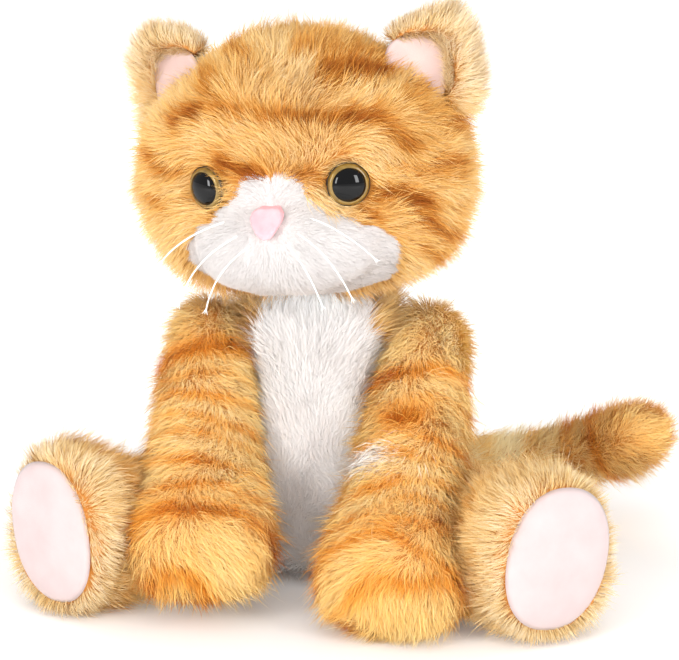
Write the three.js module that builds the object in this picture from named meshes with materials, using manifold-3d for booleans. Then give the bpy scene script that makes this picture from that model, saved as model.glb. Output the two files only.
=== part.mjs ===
// Seated plush cat: a stuffed toy of faux-fur shells round fibre stuffing, with safety eyes and whiskers.
//
// Millimetres, +Z up. The cat faces -Y and its own left is +X. The origin is the middle of the flat seat,
// on the surface that the cat sits on. Each fur shell's outer face is the packed pile, without loose tips.

import * as THREE from 'three';
import { mergeVertices } from 'three/addons/utils/BufferGeometryUtils.js';
import Module from 'manifold-3d';

const wasm = await Module();
wasm.setup();

// ---- driving dimensions -------------------------------------------------------------------------------

const GAP = 0.4; // between pieces that touch
const SHELL = 3; // thickness of the fur fabric
const MOVE_GAP = 1.6; // between pieces that move past each other
const SWEEP_TOLERANCE = 0.45; // how far the swept rooms may be simplified

// torso sections: height, half-width, half-depth, centre y
const TORSO = [
  [0, 43, 38, 1],
  [5, 51, 44, 1],
  [20, 57, 48, 1],
  [38, 58, 49, 0],
  [56, 54, 46, -2],
  [74, 45, 42, -4],
  [90, 36, 38, -6],
  [106, 35.5, 34, -8],
  [120, 35.5, 30, -10],
  [130, 30, 24, -11],
];
// half of the white front panel's outline, in x and z, from the neck down
const CHEST = [
  [22, 140],
  [27, 112],
  [36, 60],
  [33, 25],
  [21, 4],
];

const NECK = new THREE.Vector3(0, -12, 138); // centre of the neck's ball
const NECK_R = 19;
const NECK_HOLE_R = 13; // opening in the torso's fur below it

// taper: share of the width that each millimetre of height takes away
const HEAD = { centre: [-5, -25, 197], half: [73, 53, 61], power: 2.4, taper: 0.0015, turn: -9.5, tilt: -6 };
const SNOUT = { centre: [0, -35, -29], half: [45, 28.5, 25] };
// half of the white muzzle's outline, in the face's x and z, from the top down
const MUZZLE = [
  [13, 2],
  [17, -7],
  [30, -16],
  [47, -28],
  [45, -40],
  [33, -60],
];
const NOSE = { centre: [-1.8, -15.2], width: 13.4, height: 12.4, proud: 1.2 };

// an ear's middle on the face, and how far it is turned outwards
const EAR = { x: { right: 56.5, left: 60 }, y: 4, z: 37, turn: 20, half: [18, 23], power: 3.4, depth: 14 };
const LINING = { shift: [-3.5, 2], half: [13, 14.5], power: 3.2, depth: 3 };

const EYE = { x: { right: 30, left: 33 }, z: { right: -0.8, left: -2.4 }, radius: 9, dome: 5, turn: 26 };
const EYE_SINK = 2.6; // how far the eye's back sits into the pile

const WHISKER_R = 0.45;
// one side's whiskers, in the face's axes: root, middle and tip
const WHISKERS = [
  [[20, -64, -12], [35, -70, -19], [47, -67, -31]],
  [[14.5, -66, -18.5], [27, -73, -28], [37, -72, -46]],
  [[9.5, -67, -26], [18, -74, -35], [25, -73, -49]],
];

const SHOULDER = { x: 49.5, y: -10, z: 109.5, swing: [0, 7, 15, 45] };
// arm sections: distance down from the shoulder, half-width, half-depth, outward bow
const ARM = [
  [-18, 9, 9, 0],
  [-15, 14, 14, 0],
  [-7, 17.5, 19, 0],
  [8, 19, 21, 0],
  [30, 21, 21, 1],
  [58, 23.5, 21.5, 0.5],
  [84, 26, 23, 0],
  [102, 31, 26, 0],
  [117, 32.5, 27, 0],
  [128, 29, 23, 0],
  [134.5, 20, 15, 0],
  [137, 9, 7, 0],
];
const ARM_LENGTH = { right: 128, left: 143 }; // shoulder to the paw's end
const ARM_SWING = { right: 44.5, left: 44 }; // degrees forward of hanging
const ARM_TOE = { right: 2.2, left: 3.8 }; // degrees towards the middle

const HIP = { x: 46, y: -8, z: 29, swing: [0, 17, 35] };
const LEG_SPLAY = { right: 39, left: 36 }; // degrees out from straight ahead
const LEG_LEAN = 9; // degrees that the top of the foot leans outwards
const LEG_LENGTH = { right: 109, left: 120 }; // hip to sole
// leg sections: share of the way to the sole, half-width, half-height, centre height
const LEG = [
  [0, 8, 8, 29],
  [0.02, 13, 13, 29],
  [0.075, 20, 20, 29],
  [0.185, 25, 26, 28],
  [0.39, 25, 28, 27.5],
  [0.6, 26, 30.5, 29.5],
  [0.775, 29.5, 35.5, 34.5],
  [0.9, 32.5, 39, 38.5],
  [0.955, 32.5, 38.5, 38.5],
  [0.985, 30, 36.5, 38.5],
  [1, 27, 33.5, 38.5],
];
const LEG_BACK = -25; // where the leg starts, behind the hip
const SOLE = { half: [25, 30.5], z: 39.5 };

const TAIL_ROOT = new THREE.Vector3(8, 45, 29);
const TAIL_SWING = [-4, 35, 80];
// tail points and radius
const TAIL = [
  [8, 45, 29, 15],
  [34, 61, 28, 13],
  [62, 67, 28, 12],
  [90, 68, 29, 12],
  [116, 64, 34, 13.5],
  [134, 58, 42, 15.5],
  [147, 53, 49, 15],
];

const RING = 12; // sides of a limb
const rad = THREE.MathUtils.degToRad;

// ---- materials ----------------------------------------------------------------------------------------

const finish = (color, roughness, metalness = 0) => ({ color, roughness, metalness });
const LOOKS = {
  orangeFur: finish(0xe8b26a, 0.95),
  whiteFur: finish(0xf4f0ec, 0.95),
  velvet: finish(0xf3dedd, 0.9),
  nose: finish(0xf6bfc4, 0.85),
  fibre: finish(0xf2f1ee, 1.0),
  lens: finish(0x20201e, 0.05),
  gold: finish(0x9a7a35, 0.3, 0.6),
  black: finish(0x0b0b0c, 0.25),
  nylon: finish(0xf4f4f2, 0.35),
};

// ---- solids -------------------------------------------------------------------------------------------

function toSolid(geometry) {
  const bare = geometry.clone();
  bare.deleteAttribute('normal');
  bare.deleteAttribute('uv');
  const merged = mergeVertices(bare, 1e-4);
  return new wasm.Manifold(new wasm.Mesh({
    numProp: 3,
    vertProperties: Float32Array.from(merged.attributes.position.array),
    triVerts: Uint32Array.from(merged.index.array),
  }));
}

// the largest body that the cuts leave, as a named mesh
function toMesh(name, solid, look) {
  const bodies = solid.decompose().sort((a, b) => b.volume() - a.volume());
  const { vertProperties, triVerts } = bodies[0].getMesh();
  const geometry = new THREE.BufferGeometry();
  geometry.setAttribute('position', new THREE.BufferAttribute(new Float32Array(vertProperties), 3));
  geometry.setIndex(new THREE.BufferAttribute(new Uint32Array(triVerts), 1));
  geometry.computeVertexNormals();
  const mesh = new THREE.Mesh(geometry, new THREE.MeshStandardMaterial(LOOKS[look]));
  mesh.name = name;
  return mesh;
}

const placed = (geometry, matrix) => geometry.clone().applyMatrix4(matrix);

function frameAt(position, euler) {
  const turn = new THREE.Quaternion().setFromEuler(euler);
  return new THREE.Matrix4().compose(position, turn, new THREE.Vector3(1, 1, 1));
}

// a point on a unit superellipse
function onSuperellipse(angle, power) {
  const [c, s] = [Math.cos(angle), Math.sin(angle)];
  const soft = (value) => Math.sign(value) * Math.abs(value) ** (2 / power);
  return [soft(c), soft(s)];
}

// closed body through rings; each ring is { centre, across, up, half: [a, b] }
function loft(rings, sides = RING, power = 2.2) {
  const points = [];
  const faces = [];
  for (const { centre, across, up, half } of rings) {
    for (let i = 0; i < sides; i += 1) {
      const [u, v] = onSuperellipse((2 * Math.PI * i) / sides, power);
      const point = centre.clone().addScaledVector(across, u * half[0]).addScaledVector(up, v * half[1]);
      points.push(...point);
    }
  }
  const last = rings.length - 1;
  const ends = [points.length / 3, points.length / 3 + 1];
  points.push(...rings[0].centre, ...rings[last].centre);
  for (let i = 0; i < sides; i += 1) {
    const j = (i + 1) % sides;
    faces.push(ends[0], j, i, ends[1], last * sides + i, last * sides + j);
    for (let k = 0; k < last; k += 1) {
      const [a, b] = [k * sides, (k + 1) * sides];
      faces.push(a + i, a + j, b + j, a + i, b + j, b + i);
    }
  }
  const geometry = new THREE.BufferGeometry();
  geometry.setAttribute('position', new THREE.Float32BufferAttribute(points, 3));
  geometry.setIndex(faces);
  return geometry;
}

// superellipsoid with its poles on Z
function blob(centre, half, power, columns = 20, rows = 10) {
  const geometry = new THREE.SphereGeometry(1, columns, rows).rotateX(Math.PI / 2);
  const position = geometry.attributes.position;
  const point = new THREE.Vector3();
  for (let i = 0; i < position.count; i += 1) {
    point.fromBufferAttribute(position, i).multiply(new THREE.Vector3(...half));
    const sum = [point.x / half[0], point.y / half[1], point.z / half[2]]
      .reduce((total, value) => total + Math.abs(value) ** power, 0);
    point.multiplyScalar(sum ** (-1 / power)).add(new THREE.Vector3(...centre));
    position.setXYZ(i, point.x, point.y, point.z);
  }
  return geometry;
}

// prism along Y over an outline in x and z
function prismY(outline, near, far) {
  const shape = new THREE.Shape(outline.map(([x, z]) => new THREE.Vector2(x, z)));
  const geometry = new THREE.ExtrudeGeometry(shape, { depth: far - near, bevelEnabled: false });
  return geometry.rotateX(Math.PI / 2).translate(0, far, 0);
}

function roundedOutline(centre, half, power, count = 18) {
  const outline = [];
  for (let i = 0; i < count; i += 1) {
    const [u, v] = onSuperellipse((2 * Math.PI * i) / count, power);
    outline.push([centre[0] + u * half[0], centre[1] + v * half[1]]);
  }
  return outline;
}

const FLOOR = toSolid(new THREE.BoxGeometry(600, 600, 100).translate(0, 0, -50));

// a soft part in two pieces: the fur shell with its sewing opening, and the stuffing inside
function shellAndStuffing(form, opening) {
  return {
    shell: form(0).subtract(form(SHELL)).subtract(opening),
    stuffing: form(SHELL + GAP),
  };
}

// ---- forms: each gives its solid, drawn in by an offset -----------------------------------------------

function torsoForm(inset) {
  const top = TORSO.at(-1)[0];
  const across = new THREE.Vector3(1, 0, 0);
  const up = new THREE.Vector3(0, 1, 0);
  const rings = TORSO.map(([z, a, b, y]) => ({
    centre: new THREE.Vector3(0, y, THREE.MathUtils.lerp(inset, top - inset, z / top)),
    across,
    up,
    half: [a - inset, b - inset],
  }));
  return toSolid(loft(rings, 18, 2.2));
}

function headForm(inset) {
  const skull = blob([0, 0, 0], HEAD.half.map((h) => h - inset), HEAD.power);
  const position = skull.attributes.position;
  for (let i = 0; i < position.count; i += 1) {
    position.setX(i, position.getX(i) * (1 - HEAD.taper * position.getZ(i)));
  }
  const snout = blob(SNOUT.centre, SNOUT.half.map((h) => h - inset), 2.2, 14, 8);
  return toSolid(skull).add(toSolid(snout));
}

function armForm(side, inset, swing = 0) {
  const [top, tip] = [ARM[0][0], ARM.at(-1)[0]];
  const end = ARM_LENGTH[side.name];
  const across = new THREE.Vector3(1, 0, 0);
  const up = new THREE.Vector3(0, -1, 0);
  const down = (s) => THREE.MathUtils.mapLinear(s, top, tip, top + inset, end - inset);
  const rings = ARM.map(([s, a, b, bow]) => ({
    centre: new THREE.Vector3(side.sign * bow, 0, -down(s)),
    across,
    up,
    half: [a - inset, b - inset],
  }));
  const forward = -rad(ARM_SWING[side.name] + swing);
  const pose = new THREE.Euler(forward, side.sign * rad(ARM_TOE[side.name]), 0, 'XYZ');
  const seat = new THREE.Vector3(side.sign * SHOULDER.x, SHOULDER.y, SHOULDER.z);
  return toSolid(placed(loft(rings), frameAt(seat, pose))).subtract(FLOOR);
}

function legForm(side, inset, swing = 0) {
  const angle = rad(LEG_SPLAY[side.name] + swing);
  const along = new THREE.Vector3(side.sign * Math.sin(angle), -Math.cos(angle), 0);
  const up = new THREE.Vector3(0, 0, 1).applyAxisAngle(along, side.sign * rad(LEG_LEAN));
  const across = up.clone().cross(along);
  const hip = new THREE.Vector3(side.sign * HIP.x, HIP.y, 0);
  const out = (share) => THREE.MathUtils.lerp(LEG_BACK + inset, LEG_LENGTH[side.name] - inset, share);
  const rings = LEG.map(([s, a, b, z]) => ({
    centre: hip.clone().addScaledVector(along, out(s)).setZ(z),
    across,
    up,
    half: [a - inset, b - inset],
  }));
  return toSolid(loft(rings)).subtract(FLOOR.translate([0, 0, inset]));
}

function tailForm(inset, swing = 0) {
  const path = new THREE.CatmullRomCurve3(TAIL.map(([x, y, z]) => new THREE.Vector3(x, y, z)));
  const steps = 8;
  const rings = [];
  const up = new THREE.Vector3(0, 0, 1);
  for (let k = 0; k <= steps; k += 1) {
    const t = k / steps;
    const tangent = path.getTangent(t);
    const at = t * (TAIL.length - 1);
    const [low, high] = [TAIL[Math.floor(at)], TAIL[Math.ceil(at)]];
    const radius = THREE.MathUtils.lerp(low[3], high[3], at % 1) - inset;
    const across = up.clone().cross(tangent).normalize();
    const ring = { centre: path.getPoint(t), across, up: tangent.clone().cross(across) };
    rings.push({ ...ring, half: [radius, radius] });
  }
  // round ends: a few rings on half a ball at each end
  const cap = (ring, direction) => [0.6, 0.93].map((h) => {
    const radius = ring.half[0];
    const centre = ring.centre.clone().addScaledVector(direction, radius * h);
    const half = radius * Math.sqrt(1 - h * h);
    return { ...ring, centre, half: [half, half] };
  });
  const root = cap(rings[0], path.getTangent(0).negate()).reverse();
  const tip = cap(rings[steps], path.getTangent(1));
  const hinge = new THREE.Matrix4().makeTranslation(TAIL_ROOT)
    .multiply(new THREE.Matrix4().makeRotationZ(rad(swing)))
    .multiply(new THREE.Matrix4().makeTranslation(TAIL_ROOT.clone().negate()));
  return toSolid(placed(loft([...root, ...rings, ...tip], 10, 2), hinge));
}

const SIDES = [
  { name: 'right', sign: -1 },
  { name: 'left', sign: 1 },
];

// ---- body ---------------------------------------------------------------------------------------------

const cat = new THREE.Group();

// the space that a moving piece passes through, with room to move
function sweep(form, swings, extra) {
  const room = swings.map((swing) => form(-MOVE_GAP - extra, swing)).reduce((all, solid) => all.add(solid));
  return room.simplify(SWEEP_TOLERANCE);
}

const armRoom = (side, extra) => sweep((inset, swing) => armForm(side, inset, swing), SHOULDER.swing, extra);
const legRoom = (side, extra) => sweep((inset, swing) => legForm(side, inset, swing), HIP.swing, extra);

function limbRoom(extra) {
  const limbs = SIDES.map((side) => armRoom(side, extra).add(legRoom(side, extra)));
  return limbs[0].add(limbs[1]).add(sweep(tailForm, TAIL_SWING, extra));
}

// both halves of an outline, anticlockwise
const mirrored = (half) => [...half.map(([x, z]) => [-x, z]), ...half.toReversed()];

// an outline that runs anticlockwise, moved outwards at every corner
function grown(outline, by) {
  const points = outline.map(([x, z]) => new THREE.Vector2(x, z));
  const outward = (a, b) => new THREE.Vector2(b.y - a.y, a.x - b.x).normalize();
  return points.map((point, i) => {
    const before = outward(points.at(i - 1), point);
    const after = outward(point, points[(i + 1) % points.length]);
    const miter = before.add(after).normalize();
    const moved = point.clone().addScaledVector(miter, by / Math.max(miter.dot(after), 0.5));
    return [moved.x, moved.y];
  });
}

function torso() {
  const form = (inset) => torsoForm(inset).subtract(limbRoom(inset));
  const neckHole = toSolid(new THREE.CylinderGeometry(NECK_HOLE_R, NECK_HOLE_R, 30, 16)
    .rotateX(Math.PI / 2).translate(NECK.x, NECK.y, TORSO.at(-1)[0]));
  const shell = form(0).subtract(form(SHELL)).subtract(neckHole);
  const patch = (by) => toSolid(prismY(grown(mirrored(CHEST), by), -90, -6));
  cat.add(toMesh('body_skin', shell.subtract(patch(GAP)), 'orangeFur'));
  cat.add(toMesh('chest_panel', shell.intersect(patch(0)), 'whiteFur'));
  cat.add(toMesh('body_stuffing', form(SHELL + 3 * GAP), 'fibre'));
}

function neck() {
  const bottom = TORSO.at(-1)[0] + GAP;
  const start = Math.asin((bottom - NECK.z) / NECK_R);
  const profile = [new THREE.Vector2(0, bottom)];
  for (let k = 0; k <= 6; k += 1) {
    const angle = THREE.MathUtils.lerp(start, Math.PI / 2, k / 6);
    profile.push(new THREE.Vector2(NECK_R * Math.cos(angle), NECK.z + NECK_R * Math.sin(angle)));
  }
  profile[profile.length - 1].x = 0;
  const geometry = new THREE.LatheGeometry(profile, 16).rotateX(Math.PI / 2);
  cat.add(toMesh('neck_stuffing', toSolid(geometry).translate([NECK.x, NECK.y, 0]), 'fibre'));
}

// ---- head, in the face's own axes ---------------------------------------------------------------------

const head = new THREE.Group();
head.position.set(...HEAD.centre);
head.rotation.set(0, rad(HEAD.tilt), rad(HEAD.turn), 'ZYX');
head.updateMatrix();
cat.add(head);

const neckInHead = NECK.clone().applyMatrix4(head.matrix.clone().invert());

const eyeTurn = (side) => side.sign * rad(EYE.turn);

// +Z of an eye's pieces is turned to look out of the face
function eyeMatrix(side, out) {
  const look = new THREE.Vector3(Math.sin(eyeTurn(side)), -Math.cos(eyeTurn(side)), 0);
  const turn = new THREE.Quaternion().setFromUnitVectors(new THREE.Vector3(0, 0, 1), look);
  const [x, z] = [EYE.x[side.name], EYE.z[side.name]];
  // the eye's back sits a little way into the pile
  const base = new THREE.Vector3(side.sign * x, skullAt(x, z) + EYE_SINK, z).addScaledVector(look, out);
  return new THREE.Matrix4().compose(base, turn, new THREE.Vector3(1, 1, 1));
}

const skullAt = (x, z) => -HEAD.half[1] * (1 - Math.abs(x / HEAD.half[0]) ** HEAD.power
  - Math.abs(z / HEAD.half[2]) ** HEAD.power) ** (1 / HEAD.power);

const disc = (radius, low, high, sides = 12) => new THREE.CylinderGeometry(radius, radius, high - low, sides)
  .rotateX(Math.PI / 2).translate(0, 0, (low + high) / 2);

// the holes that an eye needs in the fur and in the stuffing
const eyeRoom = SIDES.map((side) => {
  const recess = toSolid(placed(disc(EYE.radius + GAP, -GAP, 12), eyeMatrix(side, 0)));
  const shank = toSolid(placed(disc(2.4 + GAP, -16, 1), eyeMatrix(side, 0)));
  const washer = toSolid(placed(disc(8 + GAP, -16, -2.2), eyeMatrix(side, 0)));
  return { recess: recess.add(shank), inside: shank.add(washer) };
});

function headForms() {
  const socket = toSolid(new THREE.SphereGeometry(NECK_R + MOVE_GAP, 16, 8)
    .translate(neckInHead.x, neckInHead.y, neckInHead.z));
  const eyes = eyeRoom[0].recess.add(eyeRoom[1].recess);
  const shell = headForm(0).subtract(headForm(SHELL)).subtract(socket).subtract(eyes);
  const patch = (by) => toSolid(prismY(grown(mirrored(MUZZLE), by), -90, -12));
  const noseRoom = toSolid(prismY(noseOutline(GAP), -90, -40));
  const pockets = eyeRoom[0].inside.add(eyeRoom[1].inside);
  head.add(toMesh('head_skin', shell.subtract(patch(GAP)), 'orangeFur'));
  head.add(toMesh('muzzle_panel', shell.intersect(patch(0)).subtract(noseRoom), 'whiteFur'));
  head.add(toMesh('head_stuffing', headForm(SHELL + GAP).subtract(socket).subtract(pockets), 'fibre'));
  const proud = headForm(-NOSE.proud).subtract(headForm(SHELL - 1));
  head.add(toMesh('nose_patch', proud.intersect(toSolid(prismY(noseOutline(0), -90, -50))), 'nose'));
}

// rounded triangle, wide at the top
function noseOutline(by) {
  const [x, z] = NOSE.centre;
  const outline = [];
  const count = 15;
  for (let k = 0; k < count; k += 1) {
    const angle = (2 * Math.PI * k) / count;
    const pull = 1 + 0.16 * Math.cos(3 * (angle + Math.PI / 2));
    outline.push([
      x + (NOSE.width / 2 + by) * pull * Math.cos(angle),
      z + (NOSE.height / 2 + by) * pull * Math.sin(angle),
    ]);
  }
  return outline;
}

// ---- ears ---------------------------------------------------------------------------------------------

function ears() {
  const skull = headForm(-GAP);
  const [front, back] = [-EAR.depth / 2, EAR.depth / 2];
  const bevel = { bevelEnabled: true, bevelThickness: 4, bevelSize: 3, bevelSegments: 2 };
  for (const side of SIDES) {
    const seat = new THREE.Vector3(side.sign * EAR.x[side.name], EAR.y, EAR.z);
    const frame = frameAt(seat, new THREE.Euler(0, 0, side.sign * rad(EAR.turn)));
    const outline = roundedOutline([0, 0], EAR.half.map((h) => h - bevel.bevelSize), EAR.power);
    const shape = new THREE.Shape(outline.map(([x, z]) => new THREE.Vector2(x, z)));
    const flap = new THREE.ExtrudeGeometry(shape, { depth: EAR.depth - 2 * bevel.bevelThickness, ...bevel })
      .rotateX(Math.PI / 2).translate(0, back - bevel.bevelThickness, 0);
    const middle = [side.sign * LINING.shift[0], LINING.shift[1]];
    const inside = (by, near) => {
      const edge = roundedOutline(middle, LINING.half.map((h) => h + by), LINING.power);
      return toSolid(placed(prismY(edge, near, front + LINING.depth + by), frame));
    };
    const ear = toSolid(placed(flap, frame)).subtract(inside(GAP, front - 5)).subtract(skull);
    head.add(toMesh(`${side.name}_ear`, ear, 'orangeFur'));
    head.add(toMesh(`${side.name}_ear_lining`, inside(0, front + 1).subtract(skull), 'velvet'));
  }
}

// ---- eyes: a clear dome over a painted iris, with a shank through the fur and a washer behind ---------

function eyes() {
  const lathe = (points) => new THREE.LatheGeometry(points.map(([r, z]) => new THREE.Vector2(r, z)), 14)
    .rotateX(Math.PI / 2);
  const r = EYE.radius;
  const dome = (radius, height, z, count = 4) => Array.from({ length: count + 1 }, (_, k) => {
    const angle = (Math.PI / 2) * (k / count);
    return [k === count ? 0 : radius * Math.cos(angle), z + height * Math.sin(angle)];
  });
  const pieces = {
    eye_lens: ['lens', [[0, 1.9], [r - 0.6, 1.9], ...dome(r - 0.6, EYE.dome - 1.3, 2.2)]],
    eye_iris: ['gold', [[0, 0.9], [r - 0.6, 0.9], [r - 0.6, 1.5], [0, 1.5]]],
    eye_back: ['black', [[0, -8], [2.4, -8], [2.4, 0], [r, 0], [r, 0.5], [0, 0.5]]],
    eye_washer: ['black', [[2.8, -4.6], [7.8, -4.6], [7.8, -3.6], [2.8, -3.6], [2.8, -4.6]]],
  };
  for (const side of SIDES) {
    for (const [name, [look, profile]] of Object.entries(pieces)) {
      head.add(toMesh(`${side.name}_${name}`, toSolid(placed(lathe(profile), eyeMatrix(side, 0))), look));
    }
  }
}

// ---- whiskers -----------------------------------------------------------------------------------------

function whiskers() {
  const section = new THREE.Shape();
  section.absarc(0, 0, WHISKER_R, 0, 2 * Math.PI);
  const places = ['upper', 'middle', 'lower'];
  for (const side of SIDES) {
    WHISKERS.forEach((points, row) => {
      const bend = points.map(([x, y, z]) => new THREE.Vector3(side.sign * x, y, z));
      const path = new THREE.QuadraticBezierCurve3(...bend);
      const options = { extrudePath: path, steps: 7, curveSegments: 3, bevelEnabled: false };
      const hair = new THREE.ExtrudeGeometry(section, options);
      const solid = toSolid(hair).subtract(headForm(-GAP));
      head.add(toMesh(`${side.name}_whisker_${places[row]}`, solid, 'nylon'));
    });
  }
}

// ---- limbs and tail -----------------------------------------------------------------------------------

function arms() {
  for (const side of SIDES) {
    const opening = toSolid(new THREE.CylinderGeometry(10, 10, 24, 16).rotateZ(Math.PI / 2)
      .translate(side.sign * (SHOULDER.x - 16), SHOULDER.y, SHOULDER.z));
    const { shell, stuffing } = shellAndStuffing((inset) => armForm(side, inset), opening);
    cat.add(toMesh(`${side.name}_arm_skin`, shell, 'orangeFur'));
    cat.add(toMesh(`${side.name}_arm_stuffing`, stuffing, 'fibre'));
  }
}

function legs() {
  for (const side of SIDES) {
    const form = (inset) => legForm(side, inset).subtract(armRoom(side, inset));
    const turn = new THREE.Matrix4().makeRotationZ(side.sign * rad(LEG_SPLAY[side.name]));
    const end = LEG_LENGTH[side.name];
    const ellipse = (by) => {
      const outline = roundedOutline([0, 0], SOLE.half.map((h) => h + by), 2.1, 18);
      const prism = prismY(outline, -end - 20, -end + 14).rotateY(side.sign * rad(LEG_LEAN));
      return toSolid(placed(prism, turn).translate(side.sign * HIP.x, HIP.y, SOLE.z));
    };
    const opening = toSolid(new THREE.CylinderGeometry(12, 12, 26, 16).rotateX(Math.PI / 2)
      .translate(side.sign * HIP.x, HIP.y + 20, HIP.z));
    const { shell, stuffing } = shellAndStuffing(form, opening);
    cat.add(toMesh(`${side.name}_leg_skin`, shell.subtract(ellipse(GAP)), 'orangeFur'));
    cat.add(toMesh(`${side.name}_foot_pad`, shell.intersect(ellipse(0)), 'velvet'));
    cat.add(toMesh(`${side.name}_leg_stuffing`, stuffing, 'fibre'));
  }
}

function tail() {
  const opening = toSolid(new THREE.CylinderGeometry(7, 7, 16, 14)
    .translate(TAIL_ROOT.x - 6, TAIL_ROOT.y - 14, TAIL_ROOT.z));
  const { shell, stuffing } = shellAndStuffing(tailForm, opening);
  cat.add(toMesh('tail_skin', shell, 'orangeFur'));
  cat.add(toMesh('tail_stuffing', stuffing, 'fibre'));
}

torso();
neck();
headForms();
ears();
eyes();
whiskers();
arms();
legs();
tail();

export default cat;
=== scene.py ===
"""Looks of a seated plush cat: long faux fur over stuffed forms, velour pads, safety eyes and whiskers.

Lengths in the settings are millimetres; Blender works in metres, so points are scaled by MM where they
meet the scene. The face's own axes are the head's: x to the cat's left, -y out of the face, z up.
"""

import math

import bmesh
import bpy
import numpy as np
from mathutils import Matrix, Vector
from mathutils.bvhtree import BVHTree
from mathutils.kdtree import KDTree


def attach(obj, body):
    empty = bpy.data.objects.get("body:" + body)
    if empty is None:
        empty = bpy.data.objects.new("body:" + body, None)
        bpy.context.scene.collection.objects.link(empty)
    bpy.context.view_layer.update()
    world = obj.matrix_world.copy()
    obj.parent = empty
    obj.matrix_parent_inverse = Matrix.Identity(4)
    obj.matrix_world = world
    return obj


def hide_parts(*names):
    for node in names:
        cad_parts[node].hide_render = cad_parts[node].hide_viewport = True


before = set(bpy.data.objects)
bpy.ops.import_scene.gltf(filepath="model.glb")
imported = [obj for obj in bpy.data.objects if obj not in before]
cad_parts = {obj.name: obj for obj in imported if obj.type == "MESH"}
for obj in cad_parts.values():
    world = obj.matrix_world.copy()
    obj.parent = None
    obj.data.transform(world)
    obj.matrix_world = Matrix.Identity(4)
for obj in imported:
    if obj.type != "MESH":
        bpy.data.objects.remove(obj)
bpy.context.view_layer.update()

MM = 0.001
SIDES = (("right", -1), ("left", 1))

# ---- sizes ---------------------------------------------------------------------------------------------

HEAD_CENTRE = np.array((-5.0, -25.0, 197.0))
HEAD_TURN, HEAD_TILT = math.radians(-9.5), math.radians(-6)
NECK_BALL = np.array((0.0, -12.0, 138.0))
SHOULDER = np.array((49.5, -10.0, 109.5))
ARM_SWING = {"right": math.radians(44.5), "left": math.radians(44)}
ARM_END = {"right": 128.0, "left": 143.0}
HIP = np.array((46.0, -8.0, 29.0))
LEG_SPLAY = {"right": math.radians(39), "left": math.radians(36)}
LEG_LEAN = math.radians(9)
LEG_LENGTH = {"right": 109.0, "left": 120.0}
SOLE_Z, SOLE_HALF = 39.5, (25.5, 31.0)
TAIL_PATH = np.array(((8, 45, 29), (34, 61, 28), (62, 67, 28), (90, 68, 29), (116, 64, 34), (134, 58, 42),
                      (147, 53, 49)), float)
EYE_X, EYE_Z, EYE_TURN = {"right": 30.0, "left": 33.0}, {"right": -0.8, "left": -2.4}, math.radians(26)
# outlines as x, z: the muzzle's in the face's axes, and one half of the chest's
MUZZLE = ((-33, -60), (-45, -40), (-47, -28), (-30, -16), (-18, -7), (-13, 0), (-5, 2), (5, 1.5), (10, -1),
          (16, -9), (30, -17), (47, -28), (45, -40), (33, -60))
CHEST = ((19, 140), (24, 112), (35, 60), (33, 25), (21, 4))
EYE_CLEAR = 9.3  # no hair is rooted nearer than this to an eye's axis
THROAT_HALF_WIDTH = 20.0
NECK_FUR_TOP = 150.0
PUPIL_RADIUS = 7.6
NOSE_X, NOSE_Z, NOSE_HALF = -1.8, -15.2, (6.7, 6.2)
# ears: the middle of the flap, in the face's axes, and how far it is turned outwards
EAR_X, EAR_Y, EAR_Z, EAR_TURN = {"right": 56.5, "left": 60.0}, 4.0, 37.0, math.radians(20)
LINING_SHIFT, LINING_HALF = {"right": (-3.5, 1.5), "left": (-6.0, 1.0)}, (13.0, 15.0)

# ---- camera --------------------------------------------------------------------------------------------

CAMERA_AZIMUTH, CAMERA_ELEVATION = math.radians(6), math.radians(15)
CAMERA_DISTANCE = 1.3
CAMERA_TARGET = Vector((0.0081, 0.00085, 0.112))
VIEW_WIDTH = 679 * 0.465 * MM  # what the frame spans at the target


def make_camera():
    data = bpy.data.cameras.new("camera")
    data.sensor_width = 36
    data.lens = data.sensor_width * CAMERA_DISTANCE / VIEW_WIDTH
    camera = bpy.data.objects.new("camera", data)
    bpy.context.collection.objects.link(camera)
    a, e = CAMERA_AZIMUTH, CAMERA_ELEVATION
    back = Vector((math.sin(a) * math.cos(e), -math.cos(a) * math.cos(e), math.sin(e)))
    camera.location = CAMERA_TARGET + back * CAMERA_DISTANCE
    camera.rotation_mode = "QUATERNION"
    camera.rotation_quaternion = (-back).to_track_quat("-Z", "Y")
    bpy.context.scene.camera = camera


make_camera()

# ---- small helpers -------------------------------------------------------------------------------------


def unit(v):
    return v / np.maximum(np.linalg.norm(v, axis=-1, keepdims=True), 1e-9)


def dot(a, b):
    return (a * b).sum(-1, keepdims=True)


def turn_z(angle):
    c, s = math.cos(angle), math.sin(angle)
    return np.array(((c, -s, 0), (s, c, 0), (0, 0, 1)))


def turn_y(angle):
    c, s = math.cos(angle), math.sin(angle)
    return np.array(((c, 0, s), (0, 1, 0), (-s, 0, c)))


HEAD_AXES = turn_z(HEAD_TURN) @ turn_y(HEAD_TILT)


def to_face(points):
    return (points - HEAD_CENTRE) @ HEAD_AXES


def from_face(points):
    return np.asarray(points, float) @ HEAD_AXES.T + HEAD_CENTRE


def face_direction(vectors):
    return np.asarray(vectors, float) @ HEAD_AXES.T


def waves(points, size, seed, layers=9):
    """Smooth noise of about -1 to 1 that varies over the given distance."""
    rng = np.random.default_rng(seed)
    total = np.zeros(len(points))
    for _ in range(layers):
        k = unit(rng.normal(size=3)) * (2 * math.pi / (size * rng.uniform(0.7, 1.6)))
        total += np.sin(points @ k + rng.uniform(0, 2 * math.pi))
    return total / math.sqrt(layers) / 1.1


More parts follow.
